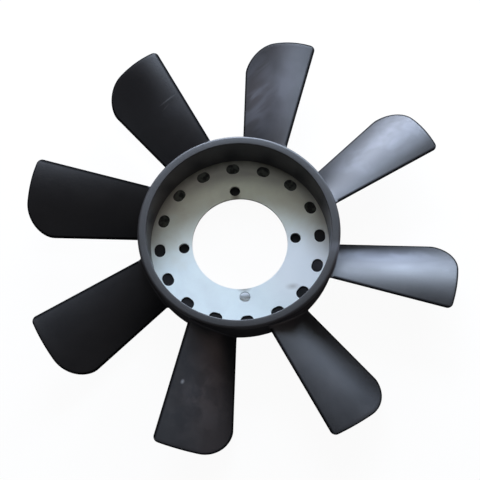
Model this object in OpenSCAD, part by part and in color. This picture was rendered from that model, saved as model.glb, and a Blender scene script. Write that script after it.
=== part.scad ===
// Radiator fan: a plastic hub and blades moulded round a flat steel mounting ring.
// Millimetres. The origin is the centre of the ring's bore, on the ring's front face.
// +Z points out of the hub's recess, and the mounting bolts lie on the X and Y axes.

/* [Fan] */
// Diameter over the tips' leading corners, before they are rounded
fan_d = 422; // [400:1:440]
// Number of blades
blade_count = 8; // [5:1:9]

/* [Hub] */
// Diameter of the hub's recess, down at the steel ring
recess_d = 175.2; // [166:0.4:184]
// Depth of the recess, from the rim down to the steel ring
recess_depth = 42; // [38:1:48]
// Thickness of the hub's wall at the rim
wall_t = 8.4; // [7:0.5:10]
// Draft of the hub's outer wall, which narrows towards the back, in degrees
outer_draft = 2.6; // [0.5:0.1:3]
// Draft of the recess's wall, which widens towards the rim, in degrees
inner_draft = 0.5; // [0.2:0.1:1]
// Radius of the rim's outer edge
rim_round = 2.6; // [1:0.2:3]
// Radius of the rim's inner edge
rim_inner_round = 0.8; // [0.4:0.2:1.6]
// Radius of the hub's outer edge at the back
back_round = 3.4; // [1:0.2:4]
// Thickness of the plastic flange behind the steel ring
flange_t = 3.2; // [2.4:0.2:5]
// How far the flange reaches inwards past the keying slots
flange_lap = 2.2; // [1:0.2:3]

/* [Steel ring] */
// Thickness of the steel
ring_t = 3; // [2:0.5:4]
// How far the ring's outer edge is held inside the hub's wall
ring_grip = 3.2; // [2:0.2:3.6]
// Diameter of the centre bore
bore_d = 94; // [88:1:98]
// Number of mounting bolts
bolt_count = 4; // [3:1:6]
// From the bore's edge to the middle of a bolt hole
bolt_inset = 8; // [7:0.5:11]
// Diameter of a bolt hole
bolt_hole_d = 10.5; // [8.5:0.5:11]
// Number of keying slots that the plastic flows through
key_count = 16; // [8:2:18]
// From the recess's wall to the middle of a keying slot
key_inset = 8.6; // [7:0.2:10]
// Width of a keying slot, along the ring's radius
key_w = 10.8; // [8:0.2:12]
// Length of a keying slot, around the ring
key_len = 13.4; // [12:0.2:15]
// How far the plastic in a slot stays below the steel's face
key_sink = 1.2; // [0.4:0.2:1.6]
// Gap left round the steel as the plastic shrinks
mould_gap = 0.05; // [0.02:0.01:0.1]

/* [Blade edges] */
// Offset of the straight edge from the blade's centre line, at the hub
lead_offset = 18.9; // [16:0.1:22]
// Angle by which the straight edge leans back to the centre line
lead_lean = 1.7; // [0:0.1:4]
// Angle of the other, radial edge from the blade's centre line
trail_angle = 15.4; // [12:0.1:17]
// Drop from the rim to the straight edge, at the hub
lead_drop_root = 6.4; // [5:0.2:8]
// Drop from the rim to the straight edge, at the tip
lead_drop_tip = 7; // [4:0.2:12]
// Height of the radial edge above the steel ring's face
trail_rise = 1.8; // [1:0.2:6]
// How far the centre of the tip's arc lies from the blade's centre line, towards the straight edge
tip_shift = 2.7; // [0:0.1:12]
// Radius of the tip's corner at the straight edge
lead_corner = 5; // [3:0.5:12]
// Radius of the tip's corner at the radial edge
trail_corner = 26.5; // [14:0.5:32]

/* [Blade section] */
// Height of the blade's bow above its edges, at the hub
bow_root = 4; // [2:0.1:7]
// Height of the blade's bow above its edges, at the tip
bow_tip = 9; // [5:0.1:14]
// Thickness of the blade's middle, at the hub
blade_t_root = 3.8; // [3:0.1:5]
// Thickness of the blade's middle, at the tip
blade_t_tip = 2.8; // [2.2:0.1:3.6]
// Thickness of the blade's rounded edges
edge_t = 1.9; // [1.4:0.1:2.2]
// Radius of the fillet where a blade meets the hub
root_fillet = 2.2; // [1:0.2:3]

/* [Hidden] */
$fn = 120;

tip_r = fan_d / 2;
blade_pitch = 360 / blade_count;

// The hub's section
recess_r = recess_d / 2;
key_circle_r = recess_r - key_inset;
rim_in_r = recess_r + recess_depth * tan(inner_draft);
rim_out_r = rim_in_r + wall_t;
back_z = -ring_t - mould_gap - flange_t;
flange_r = key_circle_r - key_w / 2 - flange_lap;
round_steps = 6;

// The steel ring's outer edge, and the circle that the bolts lie on
ring_r = recess_r + ring_grip;
bolt_circle_r = bore_d / 2 + bolt_inset;

// The blades' roots lie inside the wall, between the ring's edge and the wall's outside
root_share = 0.45;
root_r = ring_r + (hub_r(trail_rise) - ring_r) * root_share;
foot_r = rim_out_r;
edge_r = edge_t / 2;

// The straight edge's distance from the fan's axis
lead_line = lead_offset * cos(lead_lean) + foot_r * sin(lead_lean);

// The tip's arc starts where the straight edge reaches the fan's diameter
tip_centre = [0, -tip_shift];
tip_start = tip_r * [cos(lead_angle(tip_r)), sin(lead_angle(tip_r))];
tip_arc_r = norm(tip_start - tip_centre);
lead_c = corner_centre(lead_lean, 1, lead_line, lead_corner);
trail_c = corner_centre(trail_angle, -1, 0, trail_corner);
lead_touch = touch_angle(lead_c);
trail_touch = touch_angle(trail_c);
lead_end_r = norm([lead_line, lead_c * [cos(lead_lean), sin(lead_lean)]]);

// Mesh of a blade: quarter-round edges in edge_steps, and chord_steps between them
edge_steps = 2;
chord_steps = 10;
span_steps = 7;
side_steps = chord_steps + 2 * edge_steps;
// How much of the fillet, and of the tip's rounding, each row of the mesh has passed
fillet_rows = [0, 0.12, 0.45];
tip_rows = [45, 20];

function mix(a, b, share) = a + (b - a) * share;

// Points of an arc, from angle a0 to angle a1
function arc(centre, r, a0, a1) = [
    for (i = [0:round_steps])
        let (a = mix(a0, a1, i / round_steps))
        centre + r * [cos(a), sin(a)]
];

// Radius of the hub's outer wall at height z
function hub_r(z) = rim_out_r - (recess_depth - z) * tan(outer_draft);

// Centre of a rounding that touches the hub's outer wall from inside, at height z
function wall_centre(z, r) = [hub_r(z) - r / cos(outer_draft), z];

// How far out towards the tip a radius lies, from 0 at the hub to 1
function reach(r) = (r - foot_r) / (tip_r - foot_r);

// Angle of the straight edge at radius r
function lead_angle(r) = lead_lean - asin(lead_line / r);

// Length of the blade's arc, seen along the axis, at radius r
function chord(r) = r * (trail_angle - lead_angle(r)) * PI / 180;

// Height of the blade's middle surface at radius r, at a share t of the way across
function rise(r, t) =
    mix(recess_depth - mix(lead_drop_root, lead_drop_tip, reach(r)), trail_rise, t)
    + 4 * t * (1 - t) * mix(bow_root, bow_tip, reach(r));

// Slope of the middle surface there, across the blade
function slope(r, t) =
    (rise(r, t + 0.01) - rise(r, t - 0.01)) / (0.02 * chord(r));

// Centre of a rounding between the tip's arc and an edge. The edge runs at an angle, past the
// axis at a distance, and the blade lies on the side given: 1 for left, -1 for right.
function corner_centre(angle, side, distance, corner) =
    let (
        along = [cos(angle), sin(angle)],
        inward = side * [-sin(angle), cos(angle)],
        off = corner - distance,
        run = sqrt(pow(tip_arc_r - corner, 2) - pow(off - tip_centre * inward, 2))
    )
    (tip_centre * along + run) * along + off * inward;

// Angle of the point where the tip's arc meets a corner's rounding
function touch_angle(centre) =
    let (
        reach_out = centre - tip_centre,
        point = tip_centre + tip_arc_r * reach_out / norm(reach_out)
    )
    atan2(point.y, point.x);

// Radius at which a ray from the axis, at angle a, leaves a circle
function ray_exit(a, centre, r) =
    let (ray = [cos(a), sin(a)], miss = cross(centre, ray))
    centre * ray + sqrt(max(0, r * r - miss * miss));

// Radius of the blade's tip at a share t of the way across
function tip_at(t) =
    let (a = mix(lead_angle(lead_end_r), trail_angle, t))
    a < lead_touch ? ray_exit(a, lead_c, lead_corner)
    : a > trail_touch ? ray_exit(a, trail_c, trail_corner)
    : ray_exit(a, tip_centre, tip_arc_r);

// Half thickness at a share t across, without the rounded edges
function half_t(r, t) =
    edge_r + 4 * t * (1 - t) * (mix(blade_t_root, blade_t_tip, reach(r)) / 2 - edge_r);

// Growth of the section in the root's fillet, at a share of the fillet's radius
function flare(passed) = root_fillet * (1 - sqrt(1 - pow(1 - passed, 2)));

// Step i across a blade at radius r: its share of the chord and its half thickness.
// The first and last steps follow the rounded edge, and the others crowd near the edges.
function across(i, r, grow) =
    let (
        near = min(i, side_steps - i),
        turn = 90 * near / edge_steps,
        round_r = edge_r + grow,
        edge_share = (round_r * (1 - cos(turn)) - grow) / chord(r),
        inner = (i - edge_steps) / chord_steps,
        share = mix(edge_r / chord(r), 1 - edge_r / chord(r), (1 - cos(180 * inner)) / 2),
        t = near < edge_steps ? (i < edge_steps ? edge_share : 1 - edge_share) : share
    )
    [t, near < edge_steps ? round_r * sin(turn) : half_t(r, t) + grow];

// Point at radius r and share t, moved by h along the section's normal
function skin(r, t, h) =
    let (
        m = slope(r, t),
        side = -m * h / sqrt(1 + m * m),
        a = mix(lead_angle(r), trail_angle, t) + side / r * 180 / PI
    )
    [r * cos(a), r * sin(a), rise(r, t) + h / sqrt(1 + m * m)];

// Rows of the mesh, from the root outwards, each as
// [share of the way from the fillet's end to the tip's rounding, fillet passed, tip angle]
rows = concat(
    [[-1, 0, 90]],
    [for (passed = fillet_rows) [0, passed, 90]],
    [for (k = [0:span_steps]) [k / span_steps, 1, 90]],
    [for (turn = tip_rows) [1, 1, turn]]
);

// Radius of a row at a share t across
function row_r(row, t) =
    row[0] < 0 ? root_r
    : row[1] < 1 ? foot_r + root_fillet * row[1]
    : mix(foot_r + root_fillet, tip_at(t) - edge_r, row[0]) + edge_r * cos(row[2]);

// One point of a row: the front side runs to the radial edge, and the back side returns
function row_point(row, j) =
    let (
        front = j <= side_steps,
        i = front ? j : 2 * side_steps - j,
        grow = flare(row[1]),
        guess = across(i, row_r(row, i / side_steps), grow),
        r = row_r(row, guess[0]),
        step = across(i, r, grow)
    )
    skin(r, step[0], step[1] * sin(row[2]) * (front ? 1 : -1));

module blade() {
    ring = 2 * side_steps;
    last = (len(rows) - 1) * ring;
    points = [for (row = rows) for (j = [0:ring - 1]) row_point(row, j)];
    sides = [
        for (k = [0:len(rows) - 2])
            for (j = [0:ring - 1])
                let (a = k * ring + j, d = k * ring + (j + 1) % ring)
                each [[a, d, d + ring], [a, d + ring, a + ring]]
    ];
    root_end = [
        for (j = [0:side_steps - 1])
            let (c = (ring - j) % ring, d = ring - j - 1)
            each concat(
                j > 0 ? [[j, c, d]] : [],
                j < side_steps - 1 ? [[j, d, j + 1]] : []
            )
    ];
    tip_end = [for (f = root_end) [f[0] + last, f[2] + last, f[1] + last]];
    polyhedron(points, concat(sides, root_end, tip_end));
}

// The drum, its rim, the groove that holds the steel ring and the flange behind it
module hub() {
    rotate_extrude()
        polygon(concat(
            [[flange_r, back_z]],
            arc(wall_centre(back_z + back_round, back_round), back_round, -90, -outer_draft),
            arc(wall_centre(recess_depth - rim_round, rim_round), rim_round, -outer_draft, 90),
            arc([rim_in_r + rim_inner_round, recess_depth - rim_inner_round], rim_inner_round, 90, 180),
            [
                [recess_r, mould_gap],
                [ring_r + mould_gap, mould_gap],
                [ring_r + mould_gap, -ring_t - mould_gap],
                [flange_r, -ring_t - mould_gap]
            ]
        ));
}

// A keying slot's outline, made smaller all round by inset
module key_outline(inset) {
    straight = key_len - key_w;
    for (side = [-1, 1])
        translate([0, side * straight / 2])
            circle(d = key_w - 2 * inset);
    square([key_w - 2 * inset, straight], center = true);
}

module round_the_axis(count, radius) {
    for (k = [0:count - 1])
        rotate(k * 360 / count)
            translate([radius, 0])
                children();
}

// The plastic that fills the keying slots
module plugs() {
    seat_z = back_z + flange_t / 2;
    translate([0, 0, seat_z])
        linear_extrude(-key_sink - seat_z)
            round_the_axis(key_count, key_circle_r)
                key_outline(mould_gap);
}

module fan_moulding() {
    color([0.13, 0.13, 0.14]) {
        hub();
        plugs();
        for (k = [0:blade_count - 1])
            rotate((k + 0.5) * blade_pitch)
                blade();
    }
}

module mounting_ring() {
    color([0.74, 0.78, 0.8])
        translate([0, 0, -ring_t])
            linear_extrude(ring_t)
                difference() {
                    circle(ring_r);
                    circle(d = bore_d);
                    round_the_axis(bolt_count, bolt_circle_r)
                        circle(d = bolt_hole_d);
                    round_the_axis(key_count, key_circle_r)
                        key_outline(0);
                }
}

fan_moulding();
mounting_ring();
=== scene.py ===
# %% [markdown]
# # A radiator fan: plastic blades moulded round a steel ring
#
# The real fan is made in one shot. A flat, zinc-plated steel ring is laid in a mould, and black
# glass-filled nylon is pressed round its outer edge. The nylon becomes the drum and the eight
# blades, and it flows through the ring's keying slots, so the steel can't turn in its hub.
#
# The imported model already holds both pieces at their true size. This notebook dresses them: it
# makes a finer mesh of each, gives them their finishes, and then sets up the light and the camera.

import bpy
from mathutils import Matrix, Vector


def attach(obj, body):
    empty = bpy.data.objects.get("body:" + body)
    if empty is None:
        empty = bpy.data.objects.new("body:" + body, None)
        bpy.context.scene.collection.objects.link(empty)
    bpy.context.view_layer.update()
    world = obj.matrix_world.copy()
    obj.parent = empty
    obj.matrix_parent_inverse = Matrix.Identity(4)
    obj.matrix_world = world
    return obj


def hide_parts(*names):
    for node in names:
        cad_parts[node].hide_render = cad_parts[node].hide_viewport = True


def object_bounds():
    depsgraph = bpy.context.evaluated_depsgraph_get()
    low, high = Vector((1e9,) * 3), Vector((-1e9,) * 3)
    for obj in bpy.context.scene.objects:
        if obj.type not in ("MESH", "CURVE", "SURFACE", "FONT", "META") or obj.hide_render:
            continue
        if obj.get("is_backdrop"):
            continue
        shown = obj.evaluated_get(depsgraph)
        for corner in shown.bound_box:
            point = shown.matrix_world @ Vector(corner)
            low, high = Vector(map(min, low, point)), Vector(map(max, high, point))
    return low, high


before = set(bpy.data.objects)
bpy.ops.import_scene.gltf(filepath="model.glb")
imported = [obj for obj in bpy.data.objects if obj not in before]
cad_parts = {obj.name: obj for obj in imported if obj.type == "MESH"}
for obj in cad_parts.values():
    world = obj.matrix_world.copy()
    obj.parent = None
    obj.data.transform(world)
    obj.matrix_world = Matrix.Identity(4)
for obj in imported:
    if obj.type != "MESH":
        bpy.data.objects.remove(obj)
cad_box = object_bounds()
print("nodes:", sorted(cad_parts))

# %% Blender's modules
import math

import bmesh
import bpy
from mathutils import Matrix
from mathutils import Vector

print("Blender", bpy.app.version_string)

# %% [markdown]
# ## One helper for every node tree
#
# Node trees do sums with Math nodes, and a long formula soon needs dozens of them. They could be
# added one call at a time, but nobody can read the formula afterwards. So `Wire` wraps a socket and
# overloads Python's operators: `1 - mask * 0.5` then adds two Math nodes and returns the last one.
# `Graph.add` makes any other node from its type, its settings and the values of its sockets. Blades
# and materials both use these two classes.

# %% Wires and graphs
class Wire:
    """The value that a node's socket gives. Sums and products of wires add Math nodes."""

    def __init__(self, graph, socket):
        self.graph = graph
        self.socket = socket

    def out(self, name):
        """Another output of the same node."""
        return Wire(self.graph, self.socket.node.outputs[name])

    def __add__(self, other):
        return self.graph.math("ADD", self, other)

    def __radd__(self, other):
        return self.graph.math("ADD", other, self)

    def __sub__(self, other):
        return self.graph.math("SUBTRACT", self, other)

    def __rsub__(self, other):
        return self.graph.math("SUBTRACT", other, self)

    def __mul__(self, other):
        return self.graph.math("MULTIPLY", self, other)

    def __rmul__(self, other):
        return self.graph.math("MULTIPLY", other, self)

    def __truediv__(self, other):
        return self.graph.math("DIVIDE", self, other)

    def __rtruediv__(self, other):
        return self.graph.math("DIVIDE", other, self)

    def __neg__(self):
        return self.graph.math("MULTIPLY", self, -1)


class Graph:
    """Adds nodes to one tree, and links each input that is given as a wire."""

    def __init__(self, tree):
        self.tree = tree

    def add(self, kind, settings=None, inputs=None, out=0):
        node = self.tree.nodes.new(kind)
        for name, value in (settings or {}).items():
            setattr(node, name, value)
        for key, value in (inputs or {}).items():
            if isinstance(value, Wire):
                self.tree.links.new(value.socket, node.inputs[key])
            elif isinstance(value, list):
                for wire in value:
                    self.tree.links.new(wire.socket, node.inputs[key])
            else:
                node.inputs[key].default_value = value
        return Wire(self, node.outputs[out] if node.outputs else None)

    def math(self, operation, *values):
        return self.add("ShaderNodeMath", {"operation": operation}, dict(enumerate(values)))

    def sqrt(self, value):
        return self.math("SQRT", value)

    def sin(self, value):
        return self.math("SINE", value)

    def cos(self, value):
        return self.math("COSINE", value)

    def smaller(self, a, b):
        return self.math("MINIMUM", a, b)

    def larger(self, a, b):
        return self.math("MAXIMUM", a, b)

    def limit(self, value):
        """The value, kept between 0 and 1."""
        return self.larger(self.smaller(value, 1), 0)

    def blend(self, a, b, share):
        """The first value at a share of 0, and the second at a share of 1."""
        return a + (b - a) * share


print("helpers ready")

# %% [markdown]
# ## The fan's sizes
#
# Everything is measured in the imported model's own frame. The origin is the middle of the ring's
# bore, on the face that we look at, and +Z points out of the hub's recess. The sizes are the
# part's own, given in millimetres, and `MM` turns them into Blender's metres.

# %% Sizes of the hub and the ring
MM = 0.001
TINY = 0.001 * MM
BLADE_COUNT = 8
RIM_Z = 42 * MM
RECESS_R = 87.6 * MM
WALL_T = 8.4 * MM
INNER_DRAFT = math.radians(0.5)
OUTER_DRAFT = math.radians(2.6)
RIM_ROUND = 2.6 * MM
RIM_INNER_ROUND = 0.8 * MM
BACK_ROUND = 3.4 * MM
RING_T = 3 * MM
RING_R = 90.8 * MM
BORE_R = 47 * MM
GAP = 0.05 * MM
FLANGE_T = 3.2 * MM
SLOT_COUNT = 16
SLOT_CIRCLE_R = 79 * MM
SLOT_W = 10.8 * MM
SLOT_L = 13.4 * MM
PLUG_SINK = 1.2 * MM
BOLT_COUNT = 4
BOLT_CIRCLE_R = 55 * MM
BOLT_HOLE_R = 5.25 * MM
FLANGE_PAST_SLOTS = 2.2 * MM

BACK_Z = -RING_T - GAP - FLANGE_T
FLANGE_R = SLOT_CIRCLE_R - SLOT_W / 2 - FLANGE_PAST_SLOTS
RIM_IN_R = RECESS_R + RIM_Z * math.tan(INNER_DRAFT)
RIM_OUT_R = RIM_IN_R + WALL_T
print("rim radius in mm:", round(RIM_OUT_R / MM, 2))

# %% [markdown]
# ## The drum
#
# The hub is a body of revolution, like a shallow cup without a floor. It could be a tube with its
# edges bevelled afterwards, but a moulded cup has a different radius on each edge and walls that
# lean by a few degrees so that it leaves the mould. So its section is drawn point by point and
# then spun round the axis with bmesh. Long straight runs get points in between, because the blades
# are joined to that wall later, and small even faces shade well round a joint.

# %% The drum's section
BACK_STEPS = 8
RIM_STEPS = 10
LIP_STEPS = 6
LONGEST_STEP = 3.5 * MM
DRUM_STEPS = 288


def arc(centre, radius, start, end, steps):
    """Points of a rounding in the section, as (radius, height)."""
    angles = [start + (end - start) * i / steps for i in range(steps + 1)]
    return [(centre[0] + radius * math.cos(a), centre[1] + radius * math.sin(a)) for a in angles]


def wall_r(z):
    """Radius of the drum's outer wall, which narrows towards the back."""
    return RIM_OUT_R - (RIM_Z - z) * math.tan(OUTER_DRAFT)


def drum_section():
    """Corners of the section, as (radius, height), from the flange round the rim to the groove."""
    back_centre_z = BACK_Z + BACK_ROUND
    rim_centre_z = RIM_Z - RIM_ROUND
    draft_cos = math.cos(OUTER_DRAFT)
    back_centre = (wall_r(back_centre_z) - BACK_ROUND / draft_cos, back_centre_z)
    rim_centre = (wall_r(rim_centre_z) - RIM_ROUND / draft_cos, rim_centre_z)
    lip_centre = (RIM_IN_R + RIM_INNER_ROUND, RIM_Z - RIM_INNER_ROUND)
    right = math.pi / 2
    section = [(FLANGE_R, BACK_Z)]
    section += arc(back_centre, BACK_ROUND, -right, -OUTER_DRAFT, BACK_STEPS)
    section += arc(rim_centre, RIM_ROUND, -OUTER_DRAFT, right, RIM_STEPS)
    section += arc(lip_centre, RIM_INNER_ROUND, right, math.pi, LIP_STEPS)
    section += [
        (RECESS_R, GAP),
        (RING_R + GAP, GAP),
        (RING_R + GAP, -RING_T - GAP),
        (FLANGE_R, -RING_T - GAP),
    ]
    return section


def with_points_between(section, longest):
    """The closed section again, with no step longer than the one given."""
    dense = []
    for start, end in zip(section, section[1:] + section[:1]):
        steps = max(1, math.ceil(math.dist(start, end) / longest))
        for i in range(steps):
            share = i / steps
            dense.append(tuple(a + (b - a) * share for a, b in zip(start, end)))
    return dense


section = with_points_between(drum_section(), LONGEST_STEP)
print("points in the drum's section:", len(section))

# %% Spin the section
def spun(name, section, steps):
    """A closed body of revolution round Z."""
    body = bmesh.new()
    corners = [body.verts.new((r, 0, z)) for r, z in section]
    edges = [body.edges.new((a, b)) for a, b in zip(corners, corners[1:] + corners[:1])]
    bmesh.ops.spin(
        body,
        geom=corners + edges,
        cent=(0, 0, 0),
        axis=(0, 0, 1),
        angle=math.tau,
        steps=steps,
        use_merge=True,
    )
    bmesh.ops.remove_doubles(body, verts=body.verts, dist=TINY)
    bmesh.ops.recalc_face_normals(body, faces=body.faces)
    mesh = bpy.data.meshes.new(name)
    body.to_mesh(mesh)
    body.free()
    return mesh


drum_mesh = spun("drum", section, DRUM_STEPS)
print("drum faces:", len(drum_mesh.polygons))

# %% [markdown]
# ## The blades
#
# Each blade is a thin, bowed plate that twists a little as it runs outwards. One edge is straight
# and stands high, near the rim. The other edge is radial and lies low, near the ring. Sculpting
# eight of them alike would be slow, and a real blade follows a rule anyway: at any radius its
# section is an arc between those two edges, and the bow grows from hub to tip.
#
# Geometry Nodes suit that well. We start from a plain cylinder primitive. Its height becomes the
# way from hub to tip, and its roundness becomes the loop round a section. One Set Position node
# then bends it into a blade. The tree's inputs carry the sizes, so each one can be changed alone.
#
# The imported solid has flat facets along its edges, and a finer curve bulges past them by less than
# 0.1 mm. The tip's radius here is smaller by that much, so the fan stays within the solid's box.

# %% Sizes of a blade
LEAN = math.radians(1.7)
LEAD_OFFSET = 18.9 * MM

BLADE = {
    "Foot radius": RIM_OUT_R,
    "Wall draft": math.tan(OUTER_DRAFT),
    "Root depth": 3 * MM,
    "Rim height": RIM_Z,
    "Tip radius": 210.9 * MM,
    "Straight edge lean": LEAN,
    "Straight edge line": LEAD_OFFSET * math.cos(LEAN) + RIM_OUT_R * math.sin(LEAN),
    "Radial edge angle": math.radians(15.4),
    "Drop at hub": 6.4 * MM,
    "Drop at tip": 7 * MM,
    "Low edge height": 1.8 * MM,
    "Bow at hub": 4 * MM,
    "Bow at tip": 9 * MM,
    "Thickness at hub": 3.8 * MM,
    "Thickness at tip": 2.8 * MM,
    "Edge radius": 0.95 * MM,
    "Root fillet": 2.2 * MM,
}
print("straight edge passes the axis at mm:", round(BLADE["Straight edge line"] / MM, 2))

# %% [markdown]
# The tip is an arc whose centre lies a little beside the blade's line, with a small corner at the
# straight edge and a large one at the radial edge. Where the circles touch is plane geometry on
# numbers, so Python works it out here. The node tree gets only the circles and the two angles at
# which one takes over from the next.

# %% The circles of a blade's tip
TIP_CENTRE = Vector((0, -2.7 * MM))
LEAD_CORNER_R = 5 * MM
TRAIL_CORNER_R = 26.5 * MM


def direction(angle):
    return Vector((math.cos(angle), math.sin(angle)))


def lead_angle_at(radius):
    """Angle at which the straight edge crosses a circle round the axis."""
    return LEAN - math.asin(BLADE["Straight edge line"] / radius)


def corner_centre(angle, side, distance, corner_r):
    """Centre of a rounding between the tip's arc and an edge that runs at an angle."""
    along = direction(angle)
    inward = side * direction(angle + math.pi / 2)
    off = corner_r - distance
    run = math.sqrt((TIP_ARC_R - corner_r) ** 2 - (off - TIP_CENTRE.dot(inward)) ** 2)
    return (TIP_CENTRE.dot(along) + run) * along + off * inward


def touch_angle(centre):
    """Angle of the point where a rounding with this centre touches the tip's arc."""
    point = TIP_CENTRE + TIP_ARC_R * (centre - TIP_CENTRE).normalized()
    return math.atan2(point.y, point.x)


tip_start = BLADE["Tip radius"] * direction(lead_angle_at(BLADE["Tip radius"]))
TIP_ARC_R = (tip_start - TIP_CENTRE).length
lead_corner = corner_centre(LEAN, 1, BLADE["Straight edge line"], LEAD_CORNER_R)
trail_corner = corner_centre(BLADE["Radial edge angle"], -1, 0, TRAIL_CORNER_R)
lead_end = Vector((BLADE["Straight edge line"], lead_corner.dot(direction(LEAN)))).length
tip_circles = [
    (lead_corner, LEAD_CORNER_R),
    (trail_corner, TRAIL_CORNER_R),
    (TIP_CENTRE, TIP_ARC_R),
]
print("tip arc radius in mm:", round(TIP_ARC_R / MM, 2))

# %% [markdown]
# `new_tree` opens a node tree whose sockets have names, as a modifier shows them. `BladeShape`
# writes the blade's rule as formulas on fields. Read `place` from the top: it turns a point of the
# cylinder into a row and a share of the chord, finds the radius there, and lifts the point off the
# middle surface by the local half thickness.

# %% A node tree with named inputs
def new_tree(name, sizes, counts):
    """A geometry tree with a float input for each size and an integer input for each count."""
    tree = bpy.data.node_groups.new(name, "GeometryNodeTree")
    tree.interface.new_socket("Geometry", in_out="INPUT", socket_type="NodeSocketGeometry")
    for label in sizes:
        tree.interface.new_socket(label, in_out="INPUT", socket_type="NodeSocketFloat")
    for label in counts:
        tree.interface.new_socket(label, in_out="INPUT", socket_type="NodeSocketInt")
    tree.interface.new_socket("Material", in_out="INPUT", socket_type="NodeSocketMaterial")
    tree.interface.new_socket("Geometry", in_out="OUTPUT", socket_type="NodeSocketGeometry")
    graph = Graph(tree)
    group_in = graph.add("NodeGroupInput")
    return graph, group_in


def made_with(tree, name, start_mesh, values):
    """Runs a tree on a mesh and returns a plain mesh object with the result."""
    carrier = bpy.data.objects.new(name + "_carrier", start_mesh)
    bpy.context.scene.collection.objects.link(carrier)
    modifier = carrier.modifiers.new("shape", "NODES")
    modifier.node_group = tree
    for item in tree.interface.items_tree:
        if item.in_out == "INPUT" and item.name in values:
            modifier[item.identifier] = values[item.name]
    bpy.context.view_layer.update()
    evaluated = carrier.evaluated_get(bpy.context.evaluated_depsgraph_get())
    mesh = bpy.data.meshes.new_from_object(evaluated)
    bpy.data.objects.remove(carrier)
    mesh.name = name
    piece = bpy.data.objects.new(name, mesh)
    bpy.context.scene.collection.objects.link(piece)
    return piece


print("tree helpers ready")

# %% The rule of a blade
FILLET_STEPS = 6
SPAN_STEPS = 34
TIP_STEPS = 5
BLADE_ROWS = 1 + FILLET_STEPS + SPAN_STEPS + TIP_STEPS
LOOP_STEPS = 88
LAST_TIP_TURN = math.radians(87)


class BladeShape:
    """The formulas of one blade, on the fields of a geometry tree."""

    def __init__(self, graph, sizes):
        self.graph = graph
        self.sizes = sizes

    def reach(self, radius):
        """0 at the hub and 1 at the tip."""
        foot = self.sizes["Foot radius"]
        return (radius - foot) / (self.sizes["Tip radius"] - foot)

    def lead_angle(self, radius):
        """Angle of the straight edge."""
        turn = self.graph.math("ARCSINE", self.sizes["Straight edge line"] / radius)
        return self.sizes["Straight edge lean"] - turn

    def chord(self, radius):
        """Length of the section, from edge to edge round the axis."""
        return radius * (self.sizes["Radial edge angle"] - self.lead_angle(radius))

    def between(self, label, radius):
        """A size that changes evenly from the hub to the tip."""
        at_hub = self.sizes[label + " at hub"]
        return self.graph.blend(at_hub, self.sizes[label + " at tip"], self.reach(radius))

    def high_edge(self, radius):
        return self.sizes["Rim height"] - self.between("Drop", radius)

    def height(self, radius, share):
        """Height of the middle surface at a share of the way across."""
        bow = 4 * share * (1 - share) * self.between("Bow", radius)
        return self.graph.blend(self.high_edge(radius), self.sizes["Low edge height"], share) + bow

    def slope(self, radius, share):
        """How steeply the middle surface runs across the blade."""
        fall = self.sizes["Low edge height"] - self.high_edge(radius)
        rise = (4 - 8 * share) * self.between("Bow", radius)
        return (fall + rise) / self.chord(radius)

    def half_thickness(self, radius, share):
        edge = self.sizes["Edge radius"]
        middle = self.between("Thickness", radius) / 2
        return edge + 4 * share * (1 - share) * (middle - edge)

    def ray_exit(self, angle, centre, circle_r):
        """Radius at which a ray from the axis leaves a circle."""
        ray_x = self.graph.cos(angle)
        ray_y = self.graph.sin(angle)
        along = ray_x * centre.x + ray_y * centre.y
        miss = ray_y * centre.x - ray_x * centre.y
        return along + self.graph.sqrt(self.graph.larger(circle_r ** 2 - miss * miss, 0))

    def tip(self, share):
        """Radius of the blade's outline at a share of the way across."""
        angle = self.graph.blend(lead_angle_at(lead_end), self.sizes["Radial edge angle"], share)
        lead, trail, middle = [self.ray_exit(angle, *circle) for circle in tip_circles]
        in_lead = self.graph.math("LESS_THAN", angle, touch_angle(lead_corner))
        in_trail = self.graph.math("GREATER_THAN", angle, touch_angle(trail_corner))
        outline = self.graph.blend(middle, lead, in_lead)
        return self.graph.blend(outline, trail, in_trail)


print("rows of a blade:", BLADE_ROWS)

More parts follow.
